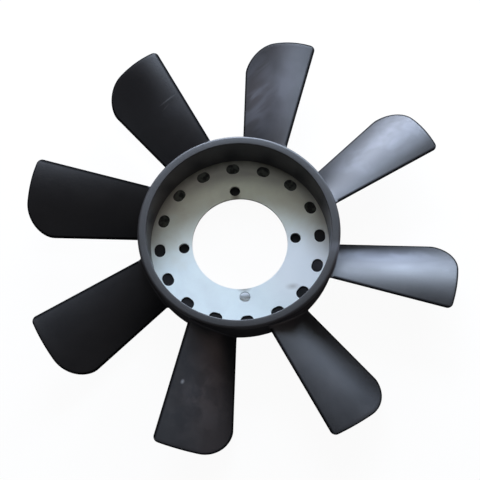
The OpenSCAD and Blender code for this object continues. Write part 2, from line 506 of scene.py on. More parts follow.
# %% From the cylinder to the blade
def place(shape, loop_x, loop_y, row):
    """Where a point of the cylinder goes. Rows count from 0 at the root."""
    graph = shape.graph
    sizes = shape.sizes
    right = math.pi / 2
    fillet_turn = right * (1 - graph.limit((row - 1) / FILLET_STEPS))
    span = graph.limit((row - 1 - FILLET_STEPS) / SPAN_STEPS)
    tip_turn = LAST_TIP_TURN * graph.limit((row - 1 - FILLET_STEPS - SPAN_STEPS) / TIP_STEPS)
    grow = sizes["Root fillet"] * (1 - graph.cos(fillet_turn))
    edge = sizes["Edge radius"]
    loop_share = (1 - loop_x) / 2

    def radius_at(share):
        foot_height = shape.height(sizes["Foot radius"], graph.limit(share))
        foot = sizes["Foot radius"] - (sizes["Rim height"] - foot_height) * sizes["Wall draft"]
        inner = foot + sizes["Root fillet"] * (1 - graph.sin(fillet_turn))
        outer = graph.blend(inner, shape.tip(share) - edge, span) + edge * graph.sin(tip_turn)
        return graph.blend(foot - sizes["Root depth"], outer, graph.smaller(row, 1))

    rough_chord = shape.chord(radius_at(loop_share))
    share = (loop_share * (rough_chord + 2 * grow) - grow) / rough_chord
    radius = radius_at(graph.limit(share))
    round_r = edge + grow
    from_edge = graph.smaller(loop_share, 1 - loop_share) * (shape.chord(radius) + 2 * grow)
    short = graph.larger(round_r - from_edge, 0)
    rounding = graph.sqrt(graph.larger(round_r * round_r - short * short, 0)) / round_r
    thickness = rounding * (shape.half_thickness(radius, share) + grow) * graph.cos(tip_turn)
    lift = thickness * graph.math("SIGN", loop_y)
    slope = shape.slope(radius, share)
    upright = lift / graph.sqrt(1 + slope * slope)
    edge_angle = graph.blend(shape.lead_angle(radius), sizes["Radial edge angle"], share)
    angle = edge_angle - slope * upright / radius
    height = shape.height(radius, share) + upright
    x = radius * graph.cos(angle)
    y = radius * graph.sin(angle)
    return graph.add("ShaderNodeCombineXYZ", None, {0: x, 1: y, 2: height})


print("points round a section:", LOOP_STEPS)

# %% [markdown]
# ## The plugs in the keying slots
#
# Where the nylon has flowed through the ring it stands in the slots and stops a little below the
# steel. Each plug is the slot's own outline, a rectangle with fully rounded ends, set in by the
# gap that the nylon leaves as it shrinks. It could be modelled once and copied by hand. Here curve
# nodes draw the outline, Fill Curve and Extrude Mesh give it a body, and Instance on Points puts
# sixteen of them on their circle.

# %% Nodes that draw, thicken and repeat
END_STEPS = 10
NEARLY_HALF = 0.4999


def obround(graph, length, width):
    """A closed curve: a rectangle, long along Y, with fully rounded ends."""
    box = graph.add("GeometryNodeCurvePrimitiveQuadrilateral", None, {0: width, 1: length})
    inputs = {"Curve": box, "Radius": width * NEARLY_HALF, "Count": END_STEPS}
    return graph.add("GeometryNodeFilletCurve", {"mode": "POLY"}, inputs)


def filled(graph, curve):
    return graph.add("GeometryNodeFillCurve", {"mode": "NGONS"}, {0: curve})


def thickened(graph, flat, height):
    """A closed body: the flat face turned over, and a copy pushed up by the height."""
    up = graph.add("ShaderNodeCombineXYZ", None, {2: 1.0})
    inputs = {"Mesh": flat, "Offset": up, "Offset Scale": height, "Individual": False}
    pushed = graph.add("GeometryNodeExtrudeMesh", {"mode": "FACES"}, inputs)
    below = graph.add("GeometryNodeFlipFaces", None, {0: flat})
    both = graph.add("GeometryNodeJoinGeometry", None, {0: [pushed, below]})
    return graph.add("GeometryNodeMergeByDistance", None, {0: both, "Distance": TINY})


def lifted(graph, geometry, height):
    offset = graph.add("ShaderNodeCombineXYZ", None, {2: height})
    return graph.add("GeometryNodeTransform", None, {0: geometry, "Translation": offset})


def round_the_axis(graph, geometry, count, circle_r, first_turn=0.0):
    """Copies of a geometry round Z, each turned to face outwards."""
    points = graph.add("GeometryNodePoints", None, {0: count})
    turn = (graph.add("GeometryNodeInputIndex") + first_turn) * (math.tau / count)
    euler = graph.add("ShaderNodeCombineXYZ", None, {2: turn})
    rotation = graph.add("FunctionNodeEulerToRotation", None, {0: euler})
    x = graph.cos(turn) * circle_r
    y = graph.sin(turn) * circle_r
    spot = graph.add("ShaderNodeCombineXYZ", None, {0: x, 1: y})
    placed = graph.add("GeometryNodeSetPosition", None, {0: points, "Position": spot})
    inputs = {"Points": placed, "Instance": geometry, "Rotation": rotation}
    copies = graph.add("GeometryNodeInstanceOnPoints", None, inputs)
    return graph.add("GeometryNodeRealizeInstances", None, {0: copies})


print("drawing nodes ready")

# %% The moulding's tree
def bent_blade(graph, shape):
    """A cylinder of radius 1 and height 1, bent into a blade."""
    inputs = {"Vertices": LOOP_STEPS, "Side Segments": BLADE_ROWS, "Radius": 1.0, "Depth": 1.0}
    cylinder = graph.add("GeometryNodeMeshCylinder", {"fill_type": "NGON"}, inputs)
    position = graph.add("GeometryNodeInputPosition")
    parts = graph.add("ShaderNodeSeparateXYZ", None, {0: position})
    row = (parts.out("Z") + 0.5) * BLADE_ROWS
    spot = place(shape, parts.out("X"), parts.out("Y"), row)
    blade = graph.add("GeometryNodeSetPosition", None, {0: cylinder, "Position": spot})
    return graph.add("GeometryNodeFlipFaces", None, {0: blade})


def plug_of_nylon(graph):
    """One plug, from inside the flange up to its sunk top."""
    outline = obround(graph, SLOT_L - 2 * GAP, SLOT_W - 2 * GAP)
    foot_z = BACK_Z + FLANGE_T / 2
    plug = thickened(graph, filled(graph, outline), -PLUG_SINK - foot_z)
    return lifted(graph, plug, foot_z)


def moulding_tree():
    graph, group_in = new_tree("moulding", list(BLADE), ["Blades", "Plugs"])
    sizes = {label: group_in.out(label) for label in BLADE}
    blade = bent_blade(graph, BladeShape(graph, sizes))
    blades = round_the_axis(graph, blade, group_in.out("Blades"), 0.0, first_turn=0.5)
    plug = plug_of_nylon(graph)
    plugs = round_the_axis(graph, plug, group_in.out("Plugs"), SLOT_CIRCLE_R)
    settings = {"operation": "UNION", "solver": "MANIFOLD"}
    inputs = {"Mesh 2": [group_in.out("Geometry"), blades, plugs]}
    union = graph.add("GeometryNodeMeshBoolean", settings, inputs)
    smooth = graph.add("GeometryNodeSetShadeSmooth", None, {0: union})
    whole = graph.add("GeometryNodeRealizeInstances", None, {0: smooth})
    inputs = {0: whole, "Material": group_in.out("Material")}
    dressed = graph.add("GeometryNodeSetMaterial", None, inputs)
    graph.add("NodeGroupOutput", None, {0: dressed})
    return graph.tree


moulding = moulding_tree()
print("nodes in the moulding's tree:", len(moulding.nodes))

# %% [markdown]
# ## Make the moulding
#
# The drum's mesh goes in, the tree adds blades and plugs and melts them into one skin, and what
# comes out is read back as a plain mesh. Edges sharper than a limit stay crisp, and all the rest
# is shaded smooth, as on a moulded part.

# %% The moulding as one piece
MOULDED_SHARP = math.radians(38)
CM3 = 1e-6


def shade(piece, sharp_from):
    """Smooth shading, with the edges above an angle kept sharp."""
    mesh = piece.data
    body = bmesh.new()
    body.from_mesh(mesh)
    bmesh.ops.remove_doubles(body, verts=body.verts, dist=2 * TINY)
    bmesh.ops.dissolve_degenerate(body, edges=body.edges, dist=2 * TINY)
    bmesh.ops.recalc_face_normals(body, faces=body.faces)
    open_edges = sum(1 for edge in body.edges if not edge.is_manifold)
    volume = body.calc_volume(signed=True)
    body.to_mesh(mesh)
    body.free()
    mesh.shade_smooth()
    mesh.set_sharp_from_angle(angle=sharp_from)
    print(piece.name, "faces:", len(mesh.polygons), "open edges:", open_edges)
    print(piece.name, "volume in cm3:", round(volume / CM3, 1))


nylon = bpy.data.materials.new("black_nylon")
moulding_values = dict(BLADE, Material=nylon)
moulding_values["Blades"] = BLADE_COUNT
moulding_values["Plugs"] = SLOT_COUNT
fan = made_with(moulding, "moulded_fan", drum_mesh, moulding_values)
shade(fan, MOULDED_SHARP)

# %% [markdown]
# ## The steel ring
#
# The ring is punched from flat sheet: an outer circle, a bore, four bolt holes and sixteen slots.
# Cutting each hole with a boolean would work, but it leaves ragged faces that bevel badly. The
# punched outline is a set of flat closed curves, so curve nodes draw all of them, Fill Curve makes
# one face with its holes, and that face is thickened to the sheet's 3 mm. A small bevel then
# rounds the punched edges, which is where such a ring catches the light.

# %% The ring's tree
RIM_POINTS = 288
BORE_POINTS = 256
BOLT_HOLE_POINTS = 48
RING = {
    "Outer radius": RING_R,
    "Bore radius": BORE_R,
    "Sheet thickness": RING_T,
    "Bolt circle": BOLT_CIRCLE_R,
    "Bolt hole radius": BOLT_HOLE_R,
    "Slot circle": SLOT_CIRCLE_R,
    "Slot width": SLOT_W,
    "Slot length": SLOT_L,
}


def circle(graph, radius, points):
    kind = "GeometryNodeCurvePrimitiveCircle"
    return graph.add(kind, {"mode": "RADIUS"}, {"Resolution": points, "Radius": radius})


def ring_tree():
    graph, group_in = new_tree("ring", list(RING), ["Bolts", "Slots"])
    size = {label: group_in.out(label) for label in RING}
    hole = circle(graph, size["Bolt hole radius"], BOLT_HOLE_POINTS)
    holes = round_the_axis(graph, hole, group_in.out("Bolts"), size["Bolt circle"])
    slot = obround(graph, size["Slot length"], size["Slot width"])
    slots = round_the_axis(graph, slot, group_in.out("Slots"), size["Slot circle"])
    rim = circle(graph, size["Outer radius"], RIM_POINTS)
    bore = circle(graph, size["Bore radius"], BORE_POINTS)
    outlines = graph.add("GeometryNodeJoinGeometry", None, {0: [rim, bore, holes, slots]})
    sheet = thickened(graph, filled(graph, outlines), size["Sheet thickness"])
    sunk = lifted(graph, sheet, -size["Sheet thickness"])
    whole = graph.add("GeometryNodeRealizeInstances", None, {0: sunk})
    inputs = {0: whole, "Material": group_in.out("Material")}
    dressed = graph.add("GeometryNodeSetMaterial", None, inputs)
    graph.add("NodeGroupOutput", None, {0: dressed})
    return graph.tree


punched = ring_tree()
print("nodes in the ring's tree:", len(punched.nodes))

# %% The ring as one piece
PUNCHED_ROUND = 0.5 * MM
PUNCHED_STEPS = 3
BEVEL_FROM = math.radians(50)
ALL_SMOOTH = math.radians(180)

zinc = bpy.data.materials.new("zinc_plating")
ring_values = dict(RING, Material=zinc)
ring_values["Bolts"] = BOLT_COUNT
ring_values["Slots"] = SLOT_COUNT
ring = made_with(punched, "zinc_ring", bpy.data.meshes.new("empty_sheet"), ring_values)


def rounded(piece, width, segments):
    """Bevels a piece's sharp edges while its large faces stay flat, and keeps the plain mesh."""
    bevel = piece.modifiers.new("edges", "BEVEL")
    bevel.width = width
    bevel.segments = segments
    bevel.limit_method = "ANGLE"
    bevel.angle_limit = BEVEL_FROM
    flat = piece.modifiers.new("flat_faces", "WEIGHTED_NORMAL")
    flat.mode = "FACE_AREA"
    flat.weight = 100
    bpy.context.view_layer.update()
    evaluated = piece.evaluated_get(bpy.context.evaluated_depsgraph_get())
    mesh = bpy.data.meshes.new_from_object(evaluated)
    piece.modifiers.clear()
    piece.data = mesh


shade(ring, ALL_SMOOTH)
rounded(ring, PUNCHED_ROUND, PUNCHED_STEPS)
print("ring faces with rounded edges:", len(ring.data.polygons))

# %% [markdown]
# ## Finishes
#
# Both finishes are made of noise at several scales, because that is what makes a surface look
# made and used: broad clouds of dust or dull plating, middle-sized marks from moulding or
# handling, and a fine grain that only shows close up. They read Object coordinates. The objects
# sit at the origin, so those are metres in the fan's own frame.
#
# `Finish` adds to `Graph` what materials need. Besides noise, a mix of two colours and a bump it has
# three kinds of mask: `above` and `below` fade in or out along a value, and `spot` marks one place on
# the fan, for dust, a scratch, or a patch of painted light that only one part has.

# %% Helpers for finishes
class Finish(Graph):
    """The node tree of one material, with its shader and output."""

    def __init__(self, material):
        material.use_nodes = True
        material.node_tree.nodes.clear()
        super().__init__(material.node_tree)
        self.point = self.add("ShaderNodeTexCoord", out="Object")
        parts = self.add("ShaderNodeSeparateXYZ", None, {0: self.point})
        self.x = parts.out("X")
        self.y = parts.out("Y")
        self.z = parts.out("Z")
        self.radius = self.sqrt(self.x * self.x + self.y * self.y)

    def vector(self, x, y, z):
        return self.add("ShaderNodeCombineXYZ", None, {0: x, 1: y, 2: z})

    def noise(self, vector, scale, detail=3.0, roughness=0.5, distortion=0.0):
        inputs = {"Vector": vector, "Scale": scale, "Detail": detail}
        inputs["Roughness"] = roughness
        inputs["Distortion"] = distortion
        return self.add("ShaderNodeTexNoise", None, inputs)

    def colour(self, a, b, share):
        mix = {"data_type": "RGBA"}
        return self.add("ShaderNodeMix", mix, {0: share, 6: a, 7: b}, out=2)

    def bump(self, height, distance, strength):
        inputs = {"Height": height, "Distance": distance, "Strength": strength}
        return self.add("ShaderNodeBump", None, inputs)

    def above(self, value, start, width):
        """0 up to the start, then rising to 1 over the width."""
        return self.limit((value - start) / width)

    def below(self, value, end, width):
        """1 until the width before the end, then falling to 0 at the end."""
        return self.limit((end - value) / width)

    def patchy(self, noise, contrast):
        """Turns a noise into patches with soft, irregular edges."""
        return self.limit(0.5 + (noise - 0.5) * contrast)

    def turned(self, degrees, x=0.0, y=0.0):
        """How far the point lies along and across a direction, seen from a place on the fan."""
        cos = math.cos(math.radians(degrees))
        sin = math.sin(math.radians(degrees))
        along = (self.x - x) * cos + (self.y - y) * sin
        across = (self.y - y) * cos - (self.x - x) * sin
        return along, across

    def spot(self, x, y, size, stretch=1.0, turn=0.0):
        """1 at a place, falling to 0 at its edge. Places and sizes in mm, the turn in degrees."""
        along, across = self.turned(turn, x * MM, y * MM)
        along = along / (size * stretch * MM)
        across = across / (size * MM)
        return self.limit(1 - self.sqrt(along * along + across * across))

    def surface(self, constants, links):
        inputs = dict(constants)
        inputs.update(links)
        shader = self.add("ShaderNodeBsdfPrincipled", None, inputs)
        self.add("ShaderNodeOutputMaterial", None, {0: shader})


print("finish helpers ready")

# %% [markdown]
# ### Black nylon
#
# The plastic is nylon with short glass fibres. As it flows from the hub to the tips the fibres
# line up, which leaves faint streaks along each blade, and the surface has a satin sheen that is
# never quite even. Streaks need a noise that changes fast round the axis and slowly outwards. The
# noise is therefore read at the point's direction from the axis, as cosine and sine, so that no
# seam shows, and its third coordinate is the distance from the axis, made small.

# %% Nylon: streaks, clouds, mottle and grain
FLOW_TURN = 0.1
FLOW_REACH = 0.14


def nylon_noises(graph):
    """Noises from broad to fine: streaks of flow, clouds of dust, mottle of the mould, grain."""
    across_x = graph.x / graph.radius * FLOW_TURN
    across_y = graph.y / graph.radius * FLOW_TURN
    flow = graph.vector(across_x, across_y, graph.radius * FLOW_REACH)
    point = graph.point
    return {
        "streaks": graph.noise(flow, scale=90, detail=5.0, roughness=0.6, distortion=0.4),
        "clouds": graph.noise(point, scale=21, detail=4.0, roughness=0.58, distortion=0.6),
        "mottle": graph.noise(point, scale=120, detail=4.0, roughness=0.6),
        "grain": graph.noise(point, scale=1500, detail=2.0),
    }


print("nylon noises ready")

# %% [markdown]
# A used fan isn't equally dirty all over. Hands have wiped over the top blade, and the blades in the
# shade have a thin brownish film. The pale films are also painted light: on the top blade partly, over
# real dust and smears, and on the two lit blades at the right they are painted light broken up like
# dust. Such films could be painted on by hand. Here each one is a spot, broken up by a noise, so it
# can be moved or left out alone. A film is a share: 0 leaves the plastic bare and 1 would cover it.

# %% Nylon: films of dust and handling
def top_films(graph, patches):
    """Shares of a pale and a brownish film on the blade at the top; the misty part of the pale share
    is partly dust and partly painted light.
    """
    along, across = graph.turned(24)
    wiping = graph.vector(along * 0.35, across, 0.0)
    smears = graph.patchy(graph.noise(wiping, scale=78, detail=2.0, distortion=0.5), contrast=7)
    wiped = graph.spot(28, 150, size=24, stretch=2.2, turn=82)
    misty_and_lit = graph.spot(56, 150, size=30, stretch=2.0, turn=66)
    # The misty share brightens the top blade's right part: partly dust, partly painted light.
    pale = 0.15 * wiped * (0.1 + 1.3 * smears) + 0.15 * misty_and_lit * (0.7 + 0.6 * patches)
    brown = 0.09 * wiped * (1.1 - 0.4 * smears)
    return pale, brown


def right_painted_light(graph, patches):
    """Share of painted light on the two lit blades at the right, laid on as a pale film broken up like
    dust.
    """
    # Painted light: pale patches on the two lit blades where the lamps leave them too dark.
    lit_patches = 0.16 * graph.spot(129, 68, size=24, stretch=1.6, turn=20)
    lit_patches = lit_patches + 0.22 * graph.spot(168, 92, size=30, stretch=1.2, turn=30)
    # Painted highlight along the bright band of the lower lit blade, and a painted light band beside
    # it.
    sheen = 0.24 * graph.spot(138, -38, size=14, stretch=6.0, turn=-9)
    lit_edge_band = 0.45 * graph.spot(137, -31, size=10, stretch=6.5, turn=-6)
    return lit_patches * (0.3 + patches) + sheen + lit_edge_band * (0.6 + 0.5 * patches)


def shade_films(graph, patches):
    """Shares of a pale and a brownish film on the blades in the shade."""
    blots = graph.patchy(graph.noise(graph.point, scale=62, distortion=0.6), contrast=5)
    low = graph.spot(-50, -150, size=36, stretch=1.6, turn=70)
    low_right = graph.spot(66, -142, size=28, stretch=1.6, turn=-60)
    upper_left = graph.spot(-57, 137, size=20, stretch=1.2)
    pale = (0.02 * low_right + 0.03 * upper_left) * (0.3 + patches) + 0.03 * low * patches
    brown = (0.08 * low + 0.02 * low_right) * blots
    return pale, brown


def nylon_films(graph, inner_wall):
    """Shares of both films all over the fan. The pale share also carries painted light on the lit
    blades and on the right inner wall.
    """
    patches = graph.noise(graph.point, scale=40, detail=2.0, distortion=0.3)
    patches = graph.patchy(patches, contrast=5)
    top_pale, top_brown = top_films(graph, patches)
    shade_pale, shade_brown = shade_films(graph, patches)
    # Painted light on the right side of the recess wall, over a little dust all round it.
    lit_wall = graph.limit(1.5 * graph.spot(89, -6, size=34))
    wall_dust_and_light = inner_wall * (0.06 + 0.4 * lit_wall)
    pale = top_pale + right_painted_light(graph, patches) + shade_pale + wall_dust_and_light
    return graph.limit(pale), graph.limit(top_brown + shade_brown)


def nylon_scratches(graph, grain):
    """Share of bare, whitish plastic in two thin scratches and a chip."""
    long_one = graph.spot(-58.6, 145.9, size=1.1, stretch=10, turn=27)
    short_one = graph.spot(-61, 139, size=0.8, stretch=7, turn=38)
    chip = graph.spot(-63.9, -138.1, size=2.0, stretch=1.4, turn=60)
    return graph.limit((0.14 * long_one + 0.06 * short_one + 0.4 * chip) * (0.5 + grain))


print("nylon films ready")

# %% [markdown]
# Along a blade's rounded edges the plastic is matt, and a thin black line of painted shade is laid on,
# where the rounding turns away from the light. The line could follow the mesh's edges, but a mesh has
# no edges where a rounding starts. The outline is known as circles and lines, though, so the shader
# measures how far a point lies from them. It folds all eight blades onto one first, by wrapping the
# angle round the axis.

# %% Nylon: the painted shade along a blade's edges
LINE_REACH = 2.08 * MM
LINE_FADE = 1.3 * MM
LINE_FROM_R = 99 * MM
STRAIGHT_SIDE_WIDER = 0.6


def from_circle(graph, x, y, centre, circle_r):
    """How far a point lies inside a circle."""
    off_x = x - centre.x
    off_y = y - centre.y
    return circle_r - graph.sqrt(off_x * off_x + off_y * off_y)


def blade_outline(graph):
    """1 on the last millimetre or two before a blade's edges, and 0 elsewhere."""
    pitch = math.tau / BLADE_COUNT
    radius = graph.radius
    turn = graph.math("ARCTAN2", graph.y, graph.x)
    angle = graph.math("WRAP", turn, pitch, 0.0) - pitch / 2
    straight = LEAN - graph.math("ARCSINE", BLADE["Straight edge line"] / radius)
    to_straight = (angle - straight) * radius * STRAIGHT_SIDE_WIDER
    to_radial = (BLADE["Radial edge angle"] - angle) * radius
    x = radius * graph.cos(angle)
    y = radius * graph.sin(angle)
    inside = graph.smaller(to_straight, to_radial)
    inside = graph.smaller(inside, from_circle(graph, x, y, TIP_CENTRE, TIP_ARC_R))
    edge_run = direction(BLADE["Radial edge angle"])
    along = x * edge_run.x + y * edge_run.y
    in_corner = graph.above(along, trail_corner.dot(edge_run), MM)
    in_corner = in_corner * graph.below(to_radial, TRAIL_CORNER_R, MM)
    corner = graph.smaller(inside, from_circle(graph, x, y, trail_corner, TRAIL_CORNER_R))
    nearest = graph.blend(inside, corner, in_corner)
    return graph.above(radius, LINE_FROM_R, MM) * graph.below(nearest, LINE_REACH, LINE_FADE)


print("line ends in mm from the edge:", round(LINE_REACH / MM, 2))

# %% [markdown]
# Now the colour is laid on in layers: plastic, dust, films that are partly painted light, the worn
# rim, scratches, the dark line of painted shade, and an olive-grey mottle on the sunk plugs.

# %% Nylon: colour
BLACK = (0.004, 0.004, 0.005, 1)
GREYED = (0.016, 0.015, 0.015, 1)
PALE_FILM_AND_LIGHT = (0.30, 0.31, 0.35, 1)
BROWN_FILM = (0.30, 0.24, 0.22, 1)
WORN_RIM = (0.05, 0.048, 0.046, 1)
BARE = (0.5, 0.5, 0.5, 1)
EDGE_SHADE_BLACK = (0.004, 0.004, 0.004, 1)
PLUG_MOTTLE = (0.13, 0.145, 0.115, 1)


def dusty_plastic(graph, noises):
    """The plastic's own black, greyed by dust, and kept black at three places on the blades."""
    cloudy = graph.above(noises["clouds"], start=0.42, width=0.3125)
    streaky = graph.above(noises["streaks"], start=0.4, width=0.3333)
    dusty = cloudy * 0.55 + streaky * 0.25 + noises["mottle"] * 0.2
    # Three places where the blades stay black: near two blade tips and along one blade's low side.
    low_side = graph.spot(-8, -135, size=24, stretch=2.4, turn=85)
    wiped = graph.spot(96, -176, size=46) + graph.spot(-85, 172, size=44) + low_side
    return graph.colour(BLACK, GREYED, graph.limit(dusty * (1 - graph.limit(1.4 * wiped))))


def nylon_colour(graph, noises, inner_wall, sunk, line):
    """All the layers, from the plastic itself up to the olive-grey mottle on the plugs."""
    base = dusty_plastic(graph, noises)
    pale, brown = nylon_films(graph, inner_wall)
    base = graph.colour(base, PALE_FILM_AND_LIGHT, pale)
    base = graph.colour(base, BROWN_FILM, brown)
    worn = graph.above(graph.z, start=RIM_Z - 2 * MM, width=1.5 * MM)
    base = graph.colour(base, WORN_RIM, worn * 0.35)
    base = graph.colour(base, BARE, nylon_scratches(graph, noises["grain"]))
    # Painted shade: a black line along the blades' rounded edges.
    base = graph.colour(base, EDGE_SHADE_BLACK, line)
    # An olive-grey mottle on the sunk plugs, in the upper half only.
    plug_mottle = graph.patchy(graph.noise(graph.point, scale=170, roughness=0.6), contrast=6)
    upper_half = graph.above(graph.y, start=0, width=60 * MM)
    return graph.colour(base, PLUG_MOTTLE, sunk * upper_half * (0.2 + 0.8 * plug_mottle))


print("nylon colours ready")

# %% [markdown]
# The sheen comes from roughness. It is highest on the drum's outside, on the plugs and along the dark
# line of painted shade, and lower where the surface was polished by hands. A black metal reflects next
# to nothing, so Metallic is raised along the line, which keeps even a grazing lamp off that painted
# shade.

# %% Nylon: where the wall and the plugs are
INSIDE_TO_R = 89 * MM
OUTSIDE_FROM_R = 93 * MM
INSIDE_BELOW_RIM = 1.5 * MM
OUTSIDE_BELOW_RIM = 3.5 * MM
NARROW = 0.5 * MM
WIDE = 2 * MM
STEEP_BELOW = 0.65
STEEP_FADE = 0.5


def wall_inside(graph):
    """1 on the wall of the recess, between the steel and the rim."""
    on_wall = graph.below(graph.radius, INSIDE_TO_R, NARROW)
    return on_wall * graph.above(graph.z, 0, MM) * graph.below(graph.z, RIM_Z - INSIDE_BELOW_RIM, MM)


def wall_outside(graph):
    """1 on the drum's outside and on other steep faces beyond it, below the rim."""
    upright = graph.add("ShaderNodeSeparateXYZ", None, {0: graph.point.out("Normal")}).out("Z")
    steep = graph.below(upright, STEEP_BELOW, STEEP_FADE)
    outside = graph.above(graph.radius, OUTSIDE_FROM_R, WIDE) * steep
    return outside * graph.below(graph.z, RIM_Z - OUTSIDE_BELOW_RIM, WIDE)


def sunk_plugs(graph):
    """1 on what lies below the steel's face inside the recess."""
    return graph.below(graph.z, 0, NARROW) * graph.below(graph.radius, RECESS_R, NARROW)


print("places on the nylon ready")

# %% Nylon: sheen and relief
MOULD_RELIEF = 0.12 * MM


def nylon_roughness(graph, noises, inner_wall, matt):
    satin = 0.34 + 0.18 * noises["clouds"] + 0.1 * noises["streaks"] + 0.06 * noises["mottle"]
    polished = 0.12 * graph.spot(150, -48, size=40, stretch=1.6, turn=-12)
    polished = polished + 0.15 * graph.spot(96, -170, size=36)
    polished = polished + 0.15 * graph.spot(-85, 172, size=34)
    return graph.limit(satin - polished - 0.08 * inner_wall + 0.5 * matt)


def finish_nylon():
    graph = Finish(nylon)
    noises = nylon_noises(graph)
    inner_wall = wall_inside(graph)
    sunk = sunk_plugs(graph)
    line = blade_outline(graph)
    matt = graph.larger(wall_outside(graph), graph.larger(sunk, line))
    height = noises["grain"] * 0.35 + noises["mottle"] * 0.3 + noises["streaks"] * 0.35
    links = {
        "Base Color": nylon_colour(graph, noises, inner_wall, sunk, line),
        "Roughness": nylon_roughness(graph, noises, inner_wall, matt),
        # Metallic along the painted shade line keeps lamps from lighting it.
        "Metallic": 0.8 * line,
        "Normal": graph.bump(height, MOULD_RELIEF, strength=0.6),
    }
    graph.surface({"IOR": 1.53, "Specular IOR Level": 0.5}, links)


finish_nylon()
print("nylon nodes:", len(nylon.node_tree.nodes))

# %% [markdown]
# ### Zinc plating
#
# Electroplated zinc is a bluish, slightly milky metal. It mirrors light only softly, with dull
# blotches where the bath was uneven, fine lines from the rolled sheet below, and a few scratches from
# handling. Its upper half lies in the drum's shade, so painted shade tints it a little olive there and
# darkens it further by the wall, and a painted pool of light brightens the lower right. A pure metal
# shader would look like chrome, so Metallic stays far below 1 and the roughness is high.

# %% Zinc: colour
CLEAR_ZINC = (0.82, 0.9, 0.88, 1)
DULL_ZINC = (0.75, 0.81, 0.8, 1)
OLIVE_ZINC = (0.86, 0.87, 0.7, 1)
DULL_OLIVE = (0.76, 0.76, 0.64, 1)
PAINTED_LIGHT_ZINC = (0.97, 1.0, 0.99, 1)
SCRATCH = (0.6, 0.64, 0.64, 1)
WALL_SHADE = (0.14, 0.14, 0.1, 1)
RUST_STAIN = (0.22, 0.18, 0.13, 1)
UPPER_FADE = 70 * MM
SHADE_FROM_R = 78 * MM
SHADE_REACH = 11 * MM


def zinc_colour(graph, blotches, dull, scratched):
    """All the layers: the plating with its olive tint of painted shade in the upper half, a painted
    pool of light at the lower right, scratches, painted shade by the wall, and stains.
    """
    clear = graph.colour(CLEAR_ZINC, DULL_ZINC, dull)
    olive = graph.colour(OLIVE_ZINC, DULL_OLIVE, dull)
    # Painted shade: the upper half, which lies in the drum's shade, is tinted olive, broken up by the
    # blotches.
    olive_shade = graph.limit(0.3 + graph.y / UPPER_FADE + (blotches - 0.5) * 1.2)
    base = graph.colour(clear, olive, olive_shade)
    # Painted light: a pool of brighter zinc at the lower right of the plate.
    painted_light = graph.limit(1.6 * graph.spot(62, -34, size=52))
    base = graph.colour(base, PAINTED_LIGHT_ZINC, 0.8 * painted_light)
    base = graph.colour(base, SCRATCH, scratched * 0.4)
    # Painted shade: the plate darkens towards the wall in its upper half, broken up by the blotches.
    shade_by_wall = graph.above(graph.radius, SHADE_FROM_R, SHADE_REACH)
    shade_by_wall = shade_by_wall * graph.above(graph.y, 0, UPPER_FADE)
    base = graph.colour(base, WALL_SHADE, graph.limit(shade_by_wall * (0.5 + blotches)))
    stain = graph.spot(0, 49, size=6)
    stain = stain + 0.8 * graph.spot(0, -46.5, size=5, stretch=1.6)
    stain = stain + 0.5 * graph.spot(47, -49, size=4, stretch=2)
    return graph.colour(base, RUST_STAIN, graph.limit(stain * 1.3) * 0.7)


print("zinc colours ready")

# %% Zinc: blotches, rolling lines and scratches
ALONG_ROLLING = 0.03
ALONG_HAIRS = 0.04
SHEET_RELIEF = 0.05 * MM


def finish_zinc():
    graph = Finish(zinc)
    blotches = graph.noise(graph.point, scale=38, detail=5.0, roughness=0.6, distortion=0.5)
    sheet = graph.vector(graph.x * ALONG_ROLLING, graph.y, graph.z * ALONG_ROLLING)
    rolled = graph.noise(sheet, scale=2600, detail=2.0)
    along, across = graph.turned(34)
    wiping = graph.vector(along * ALONG_HAIRS, across, 0.0)
    hairs = graph.noise(wiping, scale=900, roughness=0.7)
    scratched = graph.above(hairs, start=0.66, width=0.111)
    dull = graph.above(blotches, start=0.38, width=0.385)
    height = rolled * 0.5 + blotches * 0.4 - scratched * 0.3
    links = {
        "Base Color": zinc_colour(graph, blotches, dull, scratched),
        "Roughness": 0.56 + 0.1 * dull + 0.05 * rolled - 0.08 * scratched,
        "Metallic": 0.2 - 0.08 * dull,
        "Normal": graph.bump(height, SHEET_RELIEF, strength=0.8),
    }
    graph.surface({"IOR": 1.5}, links)


finish_zinc()
print("zinc nodes:", len(zinc.node_tree.nodes))

# %% [markdown]
# ## Tell the frame what each piece stands for
#
# The imported solids stay for physics. Each dressed piece rides on the same body and replaces its
# solid in the picture.

# %% Pieces and bodies
for piece, node, slot in ((fan, "fan_moulding", "black_nylon"), (ring, "mounting_ring", "zinc_steel")):
    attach(piece, "root")
    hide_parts(node)
print("pieces ride on the root body")

# %% [markdown]
# ## Floor and background
#
# The fan lies on its back in a dim room, on a surface that the picture shows as plain white. More
# light would make the floor white, but it would also bleach the steel. So the floor mixes two
# shaders: a matt one that takes shadows, and a glow of strength 1 for the camera. Rays that pass
# through something see the glow too. Glossy rays get a small share of it: with all of it the satin
# black blades would turn grey.
#
# The ring's bolt holes look down on a strip of floor that the hub covers. On a real table that strip
# lies in the hub's shade, so the floor has a band of painted shade there and doesn't glow; the band
# stops short of the lowest bolt hole. Light that bounces off the floor meets a greyer colour, which
# keeps the blades' undersides black.

# %% What the white background shows to which rays
WHITE = (1, 1, 1, 1)
DARK = (0, 0, 0, 1)
GLOSSY_SHARE = 0.03


def seen_white(graph):
    """Share of the plain white that a ray meets: all from the camera, little in a reflection."""
    path = graph.add("ShaderNodeLightPath", out="Is Camera Ray")
    direct = graph.larger(path, path.out("Is Transmission Ray"))
    return graph.larger(direct, GLOSSY_SHARE * path.out("Is Glossy Ray"))


print("glossy share of the white:", GLOSSY_SHARE)

